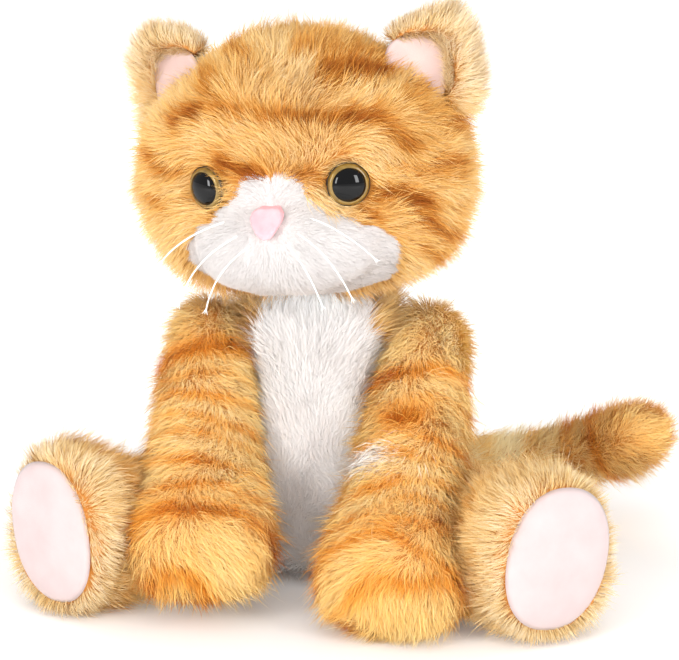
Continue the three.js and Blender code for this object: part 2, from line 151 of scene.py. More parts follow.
def inside(outline, x, z):
    """Which points lie in a closed outline."""
    hit = np.zeros(len(x), bool)
    for (x0, z0), (x1, z1) in zip(outline, outline[1:] + outline[:1]):
        crosses = (z0 > z) != (z1 > z)
        at = x0 + (z - z0) / (z1 - z0 + 1e-12) * (x1 - x0)
        hit ^= crosses & (x < at)
    return hit


def both_sides(half):
    return [(-x, z) for x, z in half] + [(x, z) for x, z in reversed(half)]


def name_of(sign):
    return "left" if sign > 0 else "right"


def smooth_step(value, low, high):
    t = np.clip((value - low) / (high - low), 0, 1)
    return t * t * (3 - 2 * t)


# ---- materials -----------------------------------------------------------------------------------------


def linear(rgb):
    return tuple((c / 255 / 12.92) if c / 255 <= 0.04045 else ((c / 255 + 0.055) / 1.055) ** 2.4 for c in rgb)


def plain(name, rgb, roughness=0.6, **inputs):
    """A material whose values are all the same over the surface."""
    material = bpy.data.materials.new(name)
    material.use_nodes = True
    shader = material.node_tree.nodes["Principled BSDF"]
    shader.inputs["Base Color"].default_value = (*linear(rgb), 1)
    shader.inputs["Roughness"].default_value = roughness
    for key, value in inputs.items():
        shader.inputs[key.replace("_", " ")].default_value = value
    material.diffuse_color = (*linear(rgb), 1)
    return material


def ramp_between(stops, count):
    """Colours spread evenly along a run of stops."""
    stops = np.array(stops, float)
    at = np.linspace(0, len(stops) - 1, count)
    low = np.minimum(at.astype(int), len(stops) - 2)
    return stops[low] + (stops[low + 1] - stops[low]) * (at - low)[:, None]


def shades(name, stops, count, **inputs):
    return [plain(f"{name}_{i + 1}", rgb, **inputs) for i, rgb in enumerate(ramp_between(stops, count))]


def noisy(name, dark, light, size, roughness=0.8, bump=0.3, depth=0.15, fine=None, **inputs):
    """Two colours mixed by cloudy noise, with a fibrous or woven bump. size is in millimetres."""
    material = plain(name, light, roughness, **inputs)
    nodes, links = material.node_tree.nodes, material.node_tree.links
    shader = nodes["Principled BSDF"]
    coordinates = nodes.new("ShaderNodeTexCoord")
    cloud = nodes.new("ShaderNodeTexNoise")
    cloud.inputs["Scale"].default_value = 1 / (size * MM)
    cloud.inputs["Detail"].default_value = 5
    ramp = nodes.new("ShaderNodeValToRGB")
    ramp.color_ramp.elements[0].position = 0.3
    ramp.color_ramp.elements[0].color = (*linear(dark), 1)
    ramp.color_ramp.elements[1].position = 0.7
    ramp.color_ramp.elements[1].color = (*linear(light), 1)
    grain = nodes.new("ShaderNodeTexNoise")
    grain.inputs["Scale"].default_value = 1 / ((fine or size / 8) * MM)
    grain.inputs["Detail"].default_value = 3
    height = nodes.new("ShaderNodeBump")
    height.inputs["Strength"].default_value = bump
    height.inputs["Distance"].default_value = depth * MM
    links.new(coordinates.outputs["Object"], cloud.inputs["Vector"])
    links.new(coordinates.outputs["Object"], grain.inputs["Vector"])
    links.new(cloud.outputs["Fac"], ramp.inputs["Fac"])
    links.new(ramp.outputs["Color"], shader.inputs["Base Color"])
    links.new(grain.outputs["Fac"], height.inputs["Height"])
    links.new(height.outputs["Normal"], shader.inputs["Normal"])
    return material


FUR = {"roughness": 0.7, "Sheen_Weight": 0.1, "Sheen_Roughness": 0.5, "Specular_IOR_Level": 0.15}
# A lighter, more saturated copy of the honey ramp below, for the same fur: painted light for the arms and
# tail, which sit in shade.
PAINTED_LIGHT_FUR = shades("painted_light_hair", ((196, 104, 22), (232, 147, 44), (251, 178, 77), (255, 197, 103),
                              (255, 212, 129), (255, 224, 155), (255, 238, 190)), 14, **FUR)
PATCH = shades("patch_hair", ((244, 232, 220), (255, 252, 248)), 2, **FUR)
HONEY = shades("honey_hair", ((154, 80, 18), (198, 120, 38), (222, 158, 74), (235, 184, 106), (242, 204, 138),
                              (247, 219, 168), (251, 234, 204)), 14, **FUR)
MUZZLE_WHITE = shades("muzzle_hair", ((208, 202, 200), (224, 219, 217), (236, 232, 230)), 6, **FUR)
WHITE = shades("white_hair", ((238, 231, 228), (250, 246, 244), (255, 255, 254)), 6, **FUR)
BACKING = noisy("orange_backing", (190, 118, 46), (228, 160, 80), 9, 0.95)
WHITE_BACKING = noisy("white_backing", (236, 230, 227), (250, 247, 245), 9, 0.95)

# ---- stuffed forms -------------------------------------------------------------------------------------


def show(name, mesh):
    piece = bpy.data.objects.new(name, mesh)
    bpy.context.collection.objects.link(piece)
    return piece


def applied(piece):
    """The piece's mesh with its modifiers made real."""
    bpy.context.view_layer.update()
    made = bpy.data.meshes.new_from_object(piece.evaluated_get(bpy.context.evaluated_depsgraph_get()))
    piece.modifiers.clear()
    old, piece.data = piece.data, made
    bpy.data.meshes.remove(old)
    return made


def points_of(mesh, what="co"):
    flat = np.empty(len(mesh.vertices) * 3, np.float32)
    if what == "co":
        mesh.vertices.foreach_get("co", flat)
    else:
        mesh.vertex_normals.foreach_get("vector", flat)
    return flat.reshape(-1, 3).astype(float)


def move_points(mesh, points):
    mesh.vertices.foreach_set("co", np.asarray(points, np.float32).ravel())
    mesh.update()


def relax(mesh, rounds):
    """Smooths facets away, and by turns grows back what the smoothing takes."""
    edges = np.empty(len(mesh.edges) * 2, np.int32)
    mesh.edges.foreach_get("vertices", edges)
    a, b = edges.reshape(-1, 2).T
    count = np.bincount(np.concatenate((a, b)), minlength=len(mesh.vertices))[:, None]
    points = points_of(mesh)
    for _ in range(rounds):
        for step in (0.5, -0.52):
            total = np.stack([np.bincount(a, points[b, i], len(points))
                              + np.bincount(b, points[a, i], len(points)) for i in range(3)], 1)
            points = points + step * (total / count - points)
    move_points(mesh, points)


def stuffed(name, nodes, voxel=3.0, rounds=40, swell=0.0):
    """A closed, rounded form from CAD solids."""
    bm = bmesh.new()
    for node in nodes:
        bm.from_mesh(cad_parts[node].data)
    mesh = bpy.data.meshes.new(name)
    bm.to_mesh(mesh)
    bm.free()
    piece = show(name, mesh)
    remesh = piece.modifiers.new("remesh", "REMESH")
    remesh.mode = "VOXEL"
    remesh.voxel_size = voxel * MM
    mesh = applied(piece)
    relax(mesh, rounds)
    if swell:
        move_points(mesh, points_of(mesh) + points_of(mesh, "normal") * swell * MM)
    mesh.shade_smooth()
    return piece


def stand_for(piece, body, slot, *nodes):
    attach(piece, body)
    if nodes:
        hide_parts(*nodes)


def finish_with(piece, *materials):
    piece.data.materials.clear()
    for material in materials:
        piece.data.materials.append(material)


FORMS = {}


def form(key, body, slot, nodes, stands_for, white=None, fill=0.8, **shape):
    """A stuffed form with its backing cloth, which is white where white(points) says so."""
    piece = stuffed(f"{key}_form", nodes, **shape)
    stand_for(piece, body, slot, *stands_for)
    finish_with(piece, BACKING, WHITE_BACKING)
    if white is not None:
        middles = np.array([polygon.center[:] for polygon in piece.data.polygons]) / MM
        piece.data.polygons.foreach_set("material_index", white(middles).astype(np.int32))
    FORMS[key] = piece


def in_muzzle(root):
    p = to_face(root)
    ragged_x, ragged_z = p[:, 0] + 1.2 * waves(root, 9, 21), p[:, 2] + 1.2 * waves(root, 8, 22)
    return inside(MUZZLE, ragged_x, ragged_z) & (p[:, 1] < -12)


def in_chest(root):
    return inside(both_sides(CHEST), root[:, 0] + waves(root, 9, 41), root[:, 2]) & (root[:, 1] < -8)


def ear_pocket(sign):
    """Middle of the hollow in front of an ear, in the world."""
    return from_face(np.array((sign * (EAR_X[name_of(sign)] - 9), -16, EAR_Z + 3)))


def shape_head(mesh):
    """Dips beside the crown, and a hollow in front of each ear."""
    points, normals = points_of(mesh) / MM, points_of(mesh, "normal")
    p = to_face(points)
    high = smooth_step(p[:, 2], 25, 52)
    down = high * (3.2 + 1.4 * np.exp(-(((p[:, 0] - 38) / 14) ** 2)))
    for _, sign in SIDES:
        far = np.linalg.norm(points - ear_pocket(sign), axis=1)
        down = np.maximum(down, 6.5 * np.exp(-((far / 14) ** 2)))
    move_points(mesh, (points - normals * down[:, None]) * MM)


form("body", "torso", "orange_fur", ["body_stuffing"], ["body_skin", "body_stuffing"],
     in_chest, swell=0.6)
form("neck", "neck", "stuffing_fibre", ["neck_stuffing"], ["neck_stuffing"], voxel=2)
form("head", "head", "orange_fur", ["head_stuffing"], ["head_skin", "head_stuffing"],
     in_muzzle, rounds=60)
shape_head(FORMS["head"].data)
for side, sign in SIDES:
    form(f"{side}_arm", f"{side}_arm", "orange_fur", [f"{side}_arm_stuffing"],
         [f"{side}_arm_skin", f"{side}_arm_stuffing"])
    form(f"{side}_leg", f"{side}_leg", "orange_fur", [f"{side}_leg_stuffing"],
         [f"{side}_leg_skin", f"{side}_leg_stuffing"])
    form(f"{side}_ear", "head", "orange_fur", [f"{side}_ear"], [f"{side}_ear"], voxel=1.6, rounds=12,
         swell=-1.6, fill=0.4)
form("tail", "tail", "orange_fur", ["tail_stuffing"], ["tail_skin", "tail_stuffing"], voxel=2.5)

# ---- fur -----------------------------------------------------------------------------------------------

DENSITY = 1.0


class Coat:
    """How one kind of fur grows. Lengths in millimetres, angles in degrees from the surface's normal."""

    def __init__(self, **settings):
        self.density = 2.6  # hairs per square millimetre
        self.length = 12.0
        self.vary = 0.36
        self.lean = 52.0
        self.lean_spread = 11.0
        self.turn = 20.0
        self.swirl = 26.0
        self.clump = 0.36
        self.per_clump = 16
        self.width = 0.24
        self.droop = 0.16
        self.frizz = 1.0
        self.contrast = 0.5
        self.tip_lift = 1.6
        self.root_drop = 1.2
        self.strays = 0.12
        self.__dict__.update(settings)


def scattered(mesh, density, rng):
    """Random points over a mesh, with their smooth normals."""
    mesh.calc_loop_triangles()
    points, normals = points_of(mesh) / MM, points_of(mesh, "normal")
    corners = np.empty(len(mesh.loop_triangles) * 3, np.int32)
    mesh.loop_triangles.foreach_get("vertices", corners)
    a, b, c = corners.reshape(-1, 3).T
    area = np.linalg.norm(np.cross(points[b] - points[a], points[c] - points[a]), axis=1) / 2
    pick = rng.choice(len(a), int(area.sum() * density), p=area / area.sum())
    u, v = rng.random((2, len(pick)))
    over = u + v > 1
    u[over], v[over] = 1 - u[over], 1 - v[over]
    blend = lambda data: (data[a[pick]] * (1 - u - v)[:, None] + data[b[pick]] * u[:, None]
                          + data[c[pick]] * v[:, None])
    return blend(points), unit(blend(normals))


def ribbons(name, root, middle, tip, across, width, normals, root_slot, tip_slot, materials):
    """Flat tapering hairs, each of three triangles, as one mesh."""
    count = len(root)
    half = across * width[:, None] / 2
    points = np.stack((root - half, root + half, middle - half * 0.85, middle + half * 0.85, tip), 1) * MM
    base = np.arange(count)[:, None] * 5
    faces = (base[:, :, None] + np.array(((0, 1, 3), (0, 3, 2), (2, 3, 4)))[None]).reshape(-1)
    mesh = bpy.data.meshes.new(name)
    mesh.vertices.add(count * 5)
    mesh.vertices.foreach_set("co", points.astype(np.float32).ravel())
    mesh.loops.add(len(faces))
    mesh.loops.foreach_set("vertex_index", faces.astype(np.int32))
    mesh.polygons.add(count * 3)
    mesh.polygons.foreach_set("loop_start", np.arange(0, count * 9, 3, dtype=np.int32))
    slots = np.stack((root_slot, root_slot, tip_slot), 1).astype(np.int32)
    mesh.polygons.foreach_set("material_index", slots.ravel())
    for material in materials:
        mesh.materials.append(material)
    mesh.update(calc_edges=True)
    custom = mesh.attributes.new("custom_normal", "FLOAT_VECTOR", "POINT")
    custom.data.foreach_set("vector", np.repeat(normals, 5, axis=0).astype(np.float32).ravel())
    return show(name, mesh)


def near_others(points, others):
    """How far each point is outside the nearest of other forms, in millimetres; less than 0 is inside."""
    gap = np.full(len(points), 99.0)
    for other in others:
        mesh = FORMS[other].data
        tree = BVHTree.FromPolygons([v.co[:] for v in mesh.vertices], [p.vertices[:] for p in mesh.polygons])
        low, high = points_of(mesh).min(0) / MM - 12, points_of(mesh).max(0) / MM + 12
        close = np.flatnonzero(((points > low) & (points < high)).all(1))
        for i in close:
            hit, normal, _, distance = tree.find_nearest(Vector(points[i] * MM))
            away = distance / MM
            if (Vector(points[i] * MM) - hit).dot(normal) < 0:
                away = -away
            gap[i] = min(gap[i], away)
    return gap


def grow(name, key, body, slot, coat, seed, keep, flow, tone, materials=HONEY, stands_for=(), others=(),
         length_at=None, lean_at=None, steer=None, patch=None):
    """Fur on a form. keep picks roots, flow says which way hairs lie and tone how light they are, 0 to 1."""
    rng = np.random.default_rng(seed)
    root, normal = scattered(FORMS[key].data, coat.density * DENSITY, rng)
    kept = keep(root, normal)
    root, normal = root[kept], normal[kept]
    count = len(root)
    along = flow(root, normal)
    along = unit(along - normal * dot(along, normal) + 1e-6)
    side = np.cross(normal, along)
    turn = np.radians(rng.normal(0, coat.turn, count) + coat.swirl * waves(root, 34, seed + 1))[:, None]
    along = np.cos(turn) * along + np.sin(turn) * side
    lean = coat.lean + rng.normal(0, coat.lean_spread, count) + 9 * waves(root, 22, seed + 2)
    length = coat.length * (1 + coat.vary * (rng.random(count) - 0.6) + 0.1 * waves(root, 26, seed + 3))
    stray = rng.random(count) < coat.strays
    length[stray] *= 1.5
    lean[stray] -= 12
    if length_at is not None:
        length = length * length_at(root, normal)
    if lean_at is not None:
        lean = lean + lean_at(root)
    gap = near_others(root + normal * 5, others) if others else np.full(count, 99.0)
    squeezed = smooth_step(gap, -2, 7)
    length = length * (0.42 + 0.58 * squeezed)
    lean = np.radians(np.clip(lean + 18 * (1 - squeezed), 12, 84))[:, None]
    first = np.cos(lean * 0.75) * normal + np.sin(lean * 0.75) * along
    last = np.cos(lean * 1.2) * normal + np.sin(lean * 1.2) * along
    last[:, 2] -= coat.droop
    last = unit(last + rng.normal(0, 0.1, (count, 3)) * coat.frizz)
    middle = root + first * length[:, None] * 0.5
    tip = middle + last * length[:, None] * 0.5
    # hairs gather into tufts
    leaders = rng.choice(count, max(count // coat.per_clump, 1), replace=False)
    tree = KDTree(len(leaders))
    for k, i in enumerate(leaders):
        tree.insert(root[i], k)
    tree.balance()
    leader = leaders[[tree.find(p)[1] for p in root]]
    pull = coat.clump * rng.uniform(0.5, 1.2, count)[:, None]
    offset = root - root[leader]
    for part, share in ((middle, 0.3), (tip, 1.0)):
        part += (part[leader].copy() + offset * 0.45 - part) * pull * share
    if steer is not None:
        middle, tip = steer(root, middle, tip, rng)
    for part in (middle, tip):
        part[:, 2] = np.maximum(part[:, 2], 0.3 + 0.5 * rng.random(count))
    # ribbons face outwards, rolled a little at random
    direction = unit(tip - root)
    across = unit(np.cross(direction, normal) + rng.normal(0, 0.45, (count, 3)))
    across = unit(across - direction * dot(across, direction))
    facing = np.cross(across, direction)
    wrong = dot(facing, normal)[:, 0] < 0
    across[wrong] *= -1
    facing[wrong] *= -1
    shading = unit(normal * 0.65 + facing * 0.45)
    width = coat.width / math.sqrt(DENSITY) * rng.uniform(0.7, 1.25, count)
    steps = len(materials) if patch is None else len(materials) - len(PATCH)
    leader_shift = rng.normal(0, 1, count)[leader] * coat.contrast * 0.6
    level = tone(root) * (steps - 1) + leader_shift + rng.normal(0, coat.contrast, count)
    root_slot = np.clip(np.round(level - coat.root_drop), 0, steps - 1)
    tip_slot = np.clip(np.round(level + coat.tip_lift * rng.uniform(0, 1, count)), 0, steps - 1)
    if patch is not None:
        white = rng.random(count) < patch(root)
        root_slot[white], tip_slot[white] = steps, steps + 1
    piece = ribbons(name, root, middle, tip, across, width, shading, root_slot, tip_slot, materials)
    stand_for(piece, body, slot, *stands_for)
    return piece


LONG = Coat()
FINE = Coat(density=7, length=5.0, lean=76, lean_spread=5, width=0.2, clump=0.06, swirl=6, turn=8,
            contrast=0.2, droop=0.02, frizz=0.25, root_drop=0.1, tip_lift=0.2, strays=0)
PLUSH = Coat(density=5, length=6.5, lean=58, width=0.22, clump=0.22, swirl=14, turn=16, contrast=0.3,
             frizz=0.4, root_drop=0.1, tip_lift=0.3)

ALL = ("body", "head", "right_arm", "left_arm", "right_leg", "left_leg", "tail")


def but(*names):
    return tuple(n for n in ALL if n not in names)


def marks(x, z, strokes):
    """Darkness of short strokes, each from (x, z) to (x, z) with a half-width and a strength."""
    dark = np.zeros(len(x))
    p = np.stack((x, z), 1)
    for x0, z0, x1, z1, half, strength in strokes:
        a, ab = np.array((x0, z0), float), np.array((x1 - x0, z1 - z0), float)
        t = np.clip(((p - a) @ ab) / (ab @ ab), 0, 1)
        far = np.linalg.norm(p - a - t[:, None] * ab, axis=1)
        dark = np.maximum(dark, strength * np.exp(-((far / half) ** 2)))
    return dark


# head: x, z of both ends of a dark stroke on the face, its half-width and strength
FACE_STROKES = (
    (12, 56, 31, 57, 3, 0.36), (32, 49, 51, 44, 4, 0.42), (9, 49, 32, 46, 3, 0.34),
    (20, 41, 42, 37, 3.5, 0.5), (-22, 50, -13, 47, 3, 0.34), (-32, 41, -24, 37, 3.5, 0.3),
    (-40, 25, -26, 29, 3.5, 0.5), (-28, 31, -18, 29, 3, 0.36), (-16, 28, 4, 25, 2.2, 0.26),
    (4, 25, 30, 23, 2.4, 0.36), (29, 22, 40, 24, 3, 0.46), (40, 24, 56, 12, 2.6, 0.34),
    (59, 32, 70, 29, 4, 0.4), (66, 14, 75, 6, 4, 0.5), (52, 28, 63, 20, 2.5, 0.26),
    (48, 6, 55, 2, 2.2, 0.3), (56, 1, 68, -4, 2.8, 0.42), (68, -4, 78, -14, 3, 0.36),
    (43, -8, 57, -15, 3.4, 0.5), (29, -9, 38, -19, 2.8, 0.36), (54, -19, 62, -30, 3, 0.42),
    (69, -21, 76, -34, 3, 0.36), (53, -35, 65, -46, 3.4, 0.42), (-19, 9, -6, 2, 3.6, 0.52),
    (8, 3, 27, 2, 2, 0.3), (-56, 12, -39, 7, 2.8, 0.34), (-58, -6, -45, -7, 2.6, 0.28),
    (-43, -27, -40, -35, 2.6, 0.44), (-34, 55, -23, 59, 3.4, 0.44), (62, -6, 74, -8, 2, 0.2),
)


def head_tone(root):
    p = to_face(root)
    base = 0.58 + 0.05 * waves(root, 30, 11) + 0.03 * waves(root, 12, 12)
    front = smooth_step(-p[:, 1], -5, 15)
    strokes = marks(p[:, 0] + 1.2 * waves(root, 14, 13), p[:, 2] + 1.2 * waves(root, 11, 14), FACE_STROKES)
    bands = 0.30 * np.exp(-((np.sin(p[:, 2] / 11 + 0.8 * waves(root, 60, 15)) - 1) / 0.35) ** 2)
    return base - 1.3 * strokes * front - bands * (1 - front)


def head_flow(root, normal):
    p = to_face(root)
    away = p - np.array((0, -62, -8))
    away[:, 2] -= 6 + 14 * smooth_step(np.abs(p[:, 0]), 20, 60)
    return face_direction(away)


def eye_centre(sign):
    """Middle of an eye's front, and the way that it looks, in the world."""
    look = np.array((sign * math.sin(EYE_TURN), -math.cos(EYE_TURN), 0))
    x, z = EYE_X[name_of(sign)], EYE_Z[name_of(sign)]
    depth = 53 * (1 - (x / 73) ** 2.4 - (abs(z) / 61) ** 2.4) ** (1 / 2.4)
    return from_face(np.array((sign * x, -depth + 2.6, z))), face_direction(look)


EYES = {side: eye_centre(sign) for side, sign in SIDES}


def from_eye(points, side):
    """Distance of points from an eye's axis, the way out from it, and how far in front they are."""
    centre, look = EYES[side]
    away = points - centre
    height = away @ look
    radial = away - height[:, None] * look
    far = np.linalg.norm(radial, axis=1)
    return far, radial / np.maximum(far, 1e-6)[:, None], height


def clear_of_eyes(points, radius):
    ok = np.ones(len(points), bool)
    for side, _ in SIDES:
        far, _, height = from_eye(points, side)
        ok &= (far > radius) | (height < -30)
    return ok


def part_round_eyes(root, middle, tip, rng):
    """Hairs bend round the eyes; a tenth of those at the right one stay free and may cross its rim."""
    for side, _ in SIDES:
        free = (rng.random(len(root)) < 0.10) & (side == "right")
        for points, rim in ((middle, 9.6), (tip, 10.2)):
            far, out, height = from_eye(points, side)
            push = np.where((far < rim) & (height > -12) & ~free, rim - far, 0)
            points += out * push[:, None]
    return middle, tip


def out_of_neck(root):
    return np.linalg.norm(root - NECK_BALL, axis=1) > 22.5


def head_length(root, normal):
    """Shorter beside the crown, in the hollows at the ears and near the eyes."""
    p = to_face(root)
    valley = 0.7 * np.exp(-(((np.abs(p[:, 0]) - 36) / 11) ** 2)) * smooth_step(p[:, 2], 36, 52)
    for _, sign in SIDES:
        far = np.linalg.norm(root - ear_pocket(sign), axis=1)
        valley = np.maximum(valley, 1.0 * np.exp(-((far / 15) ** 2)))
    eye = np.ones(len(root))
    for side, _ in SIDES:
        far, _, height = from_eye(root, side)
        eye = np.minimum(eye, np.where(height > -30, smooth_step(far, 2, 22), 1))
    return (1 - 0.5 * valley) * (0.55 + 0.45 * eye)


def orange_face(points, front):
    ahead = to_face(points)[:, 1] < -8
    return ~in_muzzle(points) & clear_of_eyes(points, EYE_CLEAR) & out_of_neck(points) & (ahead == front)


for half, front in (("front", True), ("back", False)):
    grow(f"head_fur_{half}", "head", "head", "orange_fur", Coat(contrast=0.65, per_clump=22, swirl=32), 101,
         keep=lambda p, n: orange_face(p, front), flow=head_flow, tone=head_tone, others=but("head"),
         steer=part_round_eyes, length_at=head_length)


def muzzle_tone(root):
    """Light round the nose and above it, and darker towards the chin, which is painted shade under the chin.
    """
    p = to_face(root)
    # painted shade: the muzzle's lower part is darkened where it turns under the chin
    low = smooth_step(-p[:, 2], 22, 52)
    return 0.72 - 0.35 * low + 0.08 * waves(root, 14, 31)


def muzzle_flow(root, normal):
    p = to_face(root)
    return face_direction(p - np.array((NOSE_X, -60, NOSE_Z + 4)))


def off_nose(root, by=0.0):
    p = to_face(root)
    x, z = (p[:, 0] - NOSE_X) / (NOSE_HALF[0] + by), (p[:, 2] - NOSE_Z) / (NOSE_HALF[1] + by)
    return x ** 2 + z ** 2 > 1


def white_tone(low, size, seed):
    return lambda root: low + 0.1 * waves(root, size, seed)


grow("muzzle_fur", "head", "head", "white_fur", FINE, 102,
     keep=lambda p, n: in_muzzle(p) & clear_of_eyes(p, EYE_CLEAR) & off_nose(p, -1.0) & out_of_neck(p),
     flow=muzzle_flow, tone=muzzle_tone, materials=MUZZLE_WHITE, stands_for=["muzzle_panel"],
     others=but("head"), steer=part_round_eyes,
     length_at=lambda p, n: 0.45 + 0.55 * smooth_step(np.linalg.norm(to_face(p)[:, [0, 2]]
                                                     - np.array((NOSE_X, NOSE_Z)), axis=1), 6, 22))


def body_tone(root):
    base = 0.62 + 0.05 * waves(root, 30, 42) + 0.03 * waves(root, 12, 43)
    bands = 0.30 * np.exp(-((np.sin(root[:, 2] / 8 + 0.7 * waves(root, 60, 44)) - 1) / 0.3) ** 2)
    return base - bands * (1 - 0.7 * smooth_step(root[:, 2], 98, 112))


def down_flow(root, normal):
    return np.tile((0.0, 0.0, -1.0), (len(root), 1)) + normal * 0.2


def off_neck_seat(root):
    return (root[:, 2] < 122) | (np.linalg.norm(root[:, :2] - NECK_BALL[:2], axis=1) > 19)


def body_flow(root, normal):
    high = smooth_step(root[:, 2], 96, 116)[:, None]
    outwards = unit(root * (1, 1, 0) - NECK_BALL * (1, 1, 0)) + np.array((0, 0, 0.9))
    return down_flow(root, normal) * (1 - high) + outwards * high


def chest_flow(root, normal):
    """Upwards and a little to either side, so that the top edge runs in under the chin."""
    sideways = 0.35 * waves(root, 22, 46) + root[:, 0] * 0.012
    return np.stack((sideways, np.zeros(len(root)), np.ones(len(root))), 1)


for half, front in (("front", True), ("back", False)):
    grow(f"body_fur_{half}", "body", "torso", "orange_fur", LONG, 103,
         keep=lambda p, n: ~in_chest(p) & off_neck_seat(p) & ((p[:, 1] < NECK_BALL[1]) == front),
         flow=body_flow, tone=body_tone, others=but("body", "head"),
         length_at=lambda p, n: ((1 - 0.6 * smooth_step(-n[:, 2], 0.5, 0.9))
                                 * (1 + 0.5 * smooth_step(p[:, 2], 100, 118))),
         lean_at=lambda p: -24 * smooth_step(p[:, 2], 100, 118))
grow("chest_fur", "body", "torso", "white_fur", PLUSH, 104,
     keep=lambda p, n: in_chest(p) & off_neck_seat(p), flow=chest_flow, tone=white_tone(0.5, 24, 45),
     materials=WHITE, stands_for=["chest_panel"], others=but("body"),
     length_at=lambda p, n: 1 + 0.9 * smooth_step(p[:, 2], 92, 118),
     lean_at=lambda p: -6 * smooth_step(p[:, 2], 100, 118))


def neck_tone(root):
    # A little lighter than the body's fur: painted light on the neck, which sits in shade under the chin.
    return 0.66 + 0.06 * waves(root, 12, 51)


def neck_flow(root, normal):
    return unit(root * (1, 1, 0) - NECK_BALL * (1, 1, 0)) + np.array((0, 0, -0.4))


def at_throat(root):
    return (root[:, 1] < NECK_BALL[1] - 6) & (np.abs(root[:, 0]) < THROAT_HALF_WIDTH)


NECK_COAT = Coat(length=16, density=4, lean=44, root_drop=0.4)
THROAT_COAT = Coat(length=14, density=7, lean=50, contrast=0.3, root_drop=0.1, tip_lift=0.3)
grow("neck_fur", "neck", "neck", "orange_fur", NECK_COAT, 105,
     keep=lambda p, n: (p[:, 2] < NECK_FUR_TOP) & ~at_throat(p), flow=neck_flow, tone=neck_tone)
grow("throat_fur", "neck", "neck", "white_fur", THROAT_COAT, 106,
     keep=lambda p, n: (p[:, 2] < NECK_FUR_TOP) & at_throat(p), flow=down_flow, tone=white_tone(0.85, 24, 52),
     materials=WHITE, length_at=lambda p, n: 0.4 + 0.6 * smooth_step(p[:, 2], 120, 136))

# arms: distance down the arm of a stripe's middle, its half-width, its strength, and how it leans sideways
ARM_STRIPES = {
    "right": ((12, 4.6, 0.46, 0.1), (26, 2.2, 0.26, 0.1), (36, 2.4, 0.34, 0.1), (48, 2.0, 0.34, 0),
              (58, 2.0, 0.36, 0.05), (70, 2.4, 0.38, -0.05), (84, 2.2, 0.3, 0.05), (97, 4.2, 0.44, 0.1),
              (122, 2.2, 0.42, -0.25)),
    "left": ((20, 3.6, 0.46, 0.15), (36, 2.2, 0.26, 0.1), (55, 2.6, 0.38, 0.1), (65, 2.2, 0.3, 0),
             (77, 2.6, 0.38, 0.1), (88, 2.2, 0.28, 0.15), (99, 3.2, 0.36, 0.3), (111, 2.6, 0.38, -0.2),
             (123, 3, 0.3, 0.2)),
}


def arm_axes(side, sign):
    a = ARM_SWING[side]
    return SHOULDER * (sign, 1, 1), np.array((0, -math.sin(a), -math.cos(a))), np.array(
        (0, -math.cos(a), math.sin(a)))


def arm_tone(side, sign):
    start, down, front = arm_axes(side, sign)

    def tone(root):
        s = (root - start) @ down
        x = root[:, 0] - start[0]
        dark = np.zeros(len(root))
        for at, half, strength, tilt in ARM_STRIPES[side]:
            bent = s + 1.8 * waves(root, 30, 61 + sign + int(at)) + tilt * x - 0.008 * x ** 2
            gaps = np.clip(0.95 + 0.3 * waves(root, 24, 62 + int(at)), 0.3, 1.3)
            dark = np.maximum(dark, 1.4 * strength * gaps * np.exp(-(((bent - at) / half) ** 2)))
        if side == "left":
            face = smooth_step((root - start) @ front, -18, 10)
            spot = np.linalg.norm(np.stack((x + 5, s - 45), 1), axis=1)
            dark = np.maximum(dark, 1.1 * np.exp(-((spot / 7.5) ** 2)) * face)
        # The upper arm, away from the paw, is painted lighter: painted light where the head shades the arm.
        high = 0.1 * (1 - smooth_step(s, ARM_END[side] - 60, ARM_END[side] - 30))
        return 0.66 + high + 0.03 * waves(root, 26, 63) + 0.03 * waves(root, 11, 64) - dark

    return tone


def arm_flow(side, sign):
    start, down, front = arm_axes(side, sign)

    def flow(root, normal):
        s = np.clip((root - start) @ down, -10, ARM_END[side] - 26)
        out = root - (start + s[:, None] * down)
        out = out - (out @ front)[:, None] * front * 0.6
        paw = smooth_step(s, ARM_END[side] - 50, ARM_END[side] - 26)[:, None]
        return unit(out) * (0.7 + 0.6 * paw) + down * (1.1 - 0.4 * paw)

    return flow


def arm_patch(side, sign):
    start, down, _ = arm_axes(side, sign)

    def patch(root):
        if side == "right":
            return np.zeros(len(root))
        s = (root - start) @ down
        x = root[:, 0] - start[0]
        return 1.5 * np.exp(-(((x + 22) / 12) ** 2 + ((s - 66) / 5) ** 2))

    return patch


def leg_axes(sign):
    splay = LEG_SPLAY[name_of(sign)]
    return HIP * (sign, 1, 0), np.array((sign * math.sin(splay), -math.cos(splay), 0.0))


def sole_frame(sign):
    """The sole's middle, and its axes: across, back along the leg, and up."""
    hip, along = leg_axes(sign)
    splay, length = LEG_SPLAY[name_of(sign)], LEG_LENGTH[name_of(sign)]
    return hip + along * length + np.array((0, 0, SOLE_Z)), turn_z(sign * splay) @ turn_y(sign * LEG_LEAN)


def from_sole(root, sign):
    """About how far outside the sole's edge each point is, in millimetres; far for points behind the foot."""
    centre, axes = sole_frame(sign)
    x, y, z = ((root - centre) @ axes).T
    reach = (np.abs(x / SOLE_HALF[0]) ** 2.2 + np.abs(z / SOLE_HALF[1]) ** 2.2) ** (1 / 2.2)
    return np.where(np.abs(y) < 16, (reach - 1) * 28, 99)


# legs: distance from the hip of a stripe's middle, its half-width and its strength
LEG_STRIPES = ((18, 5, 0.34), (42, 4, 0.34), (64, 4, 0.34), (84, 4, 0.34))


